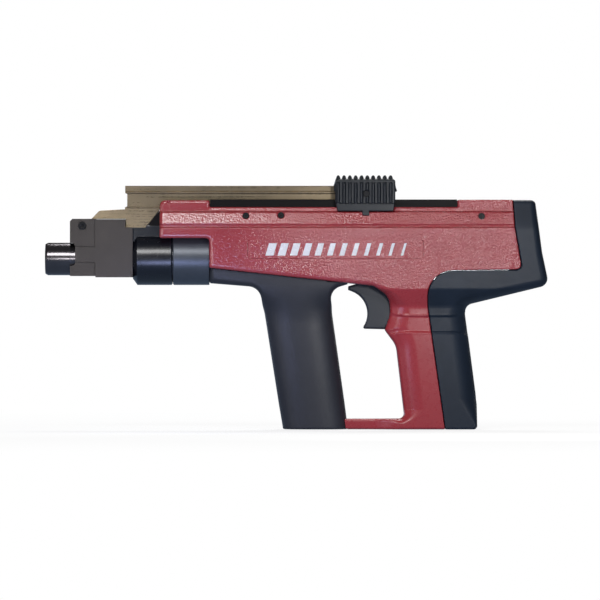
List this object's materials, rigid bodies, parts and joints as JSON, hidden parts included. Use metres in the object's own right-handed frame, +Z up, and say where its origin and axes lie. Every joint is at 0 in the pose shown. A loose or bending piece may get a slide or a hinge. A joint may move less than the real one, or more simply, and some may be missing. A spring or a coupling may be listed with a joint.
{
  "type": "powder-actuated nail gun",
  "caption": "Powder-actuated nail gun with two grips, a trigger, a sliding barrel unit with a top rail and ribbed handle, and an inner piston and striker.",
  "frame": {"origin": "centre of the whole object's footprint box, on the plane that both grips stand on, with the barrel unit fully back", "axes": "+X to the rear, away from the muzzle, +Z up, +Y to the tool's right side"},
  "size_m": [0.4008, 0.05, 0.2028],
  "materials": {
    "red_plastic": "fine-grained red moulded plastic",
    "black_grip": "satin black moulded plastic",
    "black_rubber": "satin blue-black rubber",
    "guide_plastic": "black slide guide plastic",
    "bronze_rail": "bronze-anodised aluminium",
    "nose_metal": "dark hard-anodised alloy",
    "ring_black": "gloss black-anodised alloy",
    "collar_blue": "satin blue-grey anodised alloy",
    "muzzle_steel": "polished dark steel",
    "steel": "machined steel",
    "dark_steel": "blackened steel fasteners",
    "spring_steel": "spring wire",
    "buffer_rubber": "black elastomer",
    "handle_plastic": "black ribbed plastic",
    "trigger_plastic": "satin black plastic",
    "guide_alloy": "plain machined aluminium"
  },
  "bodies": {
    "housing": {"left_shell": "red_plastic", "right_shell": "red_plastic", "label_plate": "red_plastic", "front_grip_left": "black_grip", "front_grip_right": "black_grip", "rear_cover_left": "black_rubber", "rear_cover_right": "black_rubber", "slide_guide": "guide_plastic", "housing_screws": "dark_steel", "housing_nuts": "dark_steel", "grip_screws": "dark_steel", "barrel_guide": "guide_alloy", "front_collar": "collar_blue", "breech_block": "steel", "striker_housing": "steel", "striker_spring": "spring_steel", "recoil_pad": "buffer_rubber", "strip_guide_lower": "steel", "strip_guide_upper": "steel", "trigger_pin": "steel", "trigger_spring": "spring_steel", "sear_pin": "steel", "sear_spring": "spring_steel"},
    "barrel_unit": {"barrel_tube": "steel", "retaining_ring": "ring_black", "nose_block": "nose_metal", "muzzle_tube": "muzzle_steel", "piston_guide": "guide_alloy", "buffer_ring": "buffer_rubber", "nose_pin": "dark_steel", "rail_link": "bronze_rail", "link_screws": "dark_steel", "slide_rail": "bronze_rail", "slide_handle": "handle_plastic", "handle_pin": "dark_steel"},
    "piston_unit": {"piston": "steel", "piston_rings": "steel"},
    "striker_body": {"striker": "steel"},
    "trigger_body": {"trigger": "trigger_plastic"},
    "trigger_bar_body": {"trigger_bar": "steel"},
    "sear_body": {"sear": "steel"}
  },
  "joints": [
    {"name": "barrel_slide", "type": "slide", "parent": "housing", "child": "barrel_unit", "axis": [-1, 0, 0], "range_m": [0, 0.098]},
    {"name": "piston_slide", "type": "slide", "parent": "barrel_unit", "child": "piston_unit", "axis": [-1, 0, 0], "range_m": [0, 0.1075]},
    {"name": "striker_slide", "type": "slide", "parent": "housing", "child": "striker_body", "axis": [1, 0, 0], "range_m": [0, 0.006], "stiffness_N_per_m": 400, "springref_m": -0.002, "deforming": ["striker_spring"]},
    {"name": "trigger_pivot", "type": "hinge", "parent": "housing", "child": "trigger_body", "pos_m": [0.052, 0, 0.1178], "axis": [0, -1, 0], "range_deg": [0, 10], "stiffness_Nm_per_rad": 0.5, "springref_deg": -5.73, "deforming": ["trigger_spring"]},
    {"name": "trigger_bar_slide", "type": "slide", "parent": "housing", "child": "trigger_bar_body", "axis": [1, 0, 0], "range_m": [0, 0.0037]},
    {"name": "sear_pivot", "type": "hinge", "parent": "housing", "child": "sear_body", "pos_m": [0.135, 0, 0.119], "axis": [0, -1, 0], "range_deg": [0, 11.5]}
  ],
  "couplings": [
    {"joint": "trigger_bar_slide", "follows": "trigger_pivot", "m_per_rad": 0.0206},
    {"joint": "sear_pivot", "follows": "trigger_pivot", "ratio": 1.1}
  ]
}
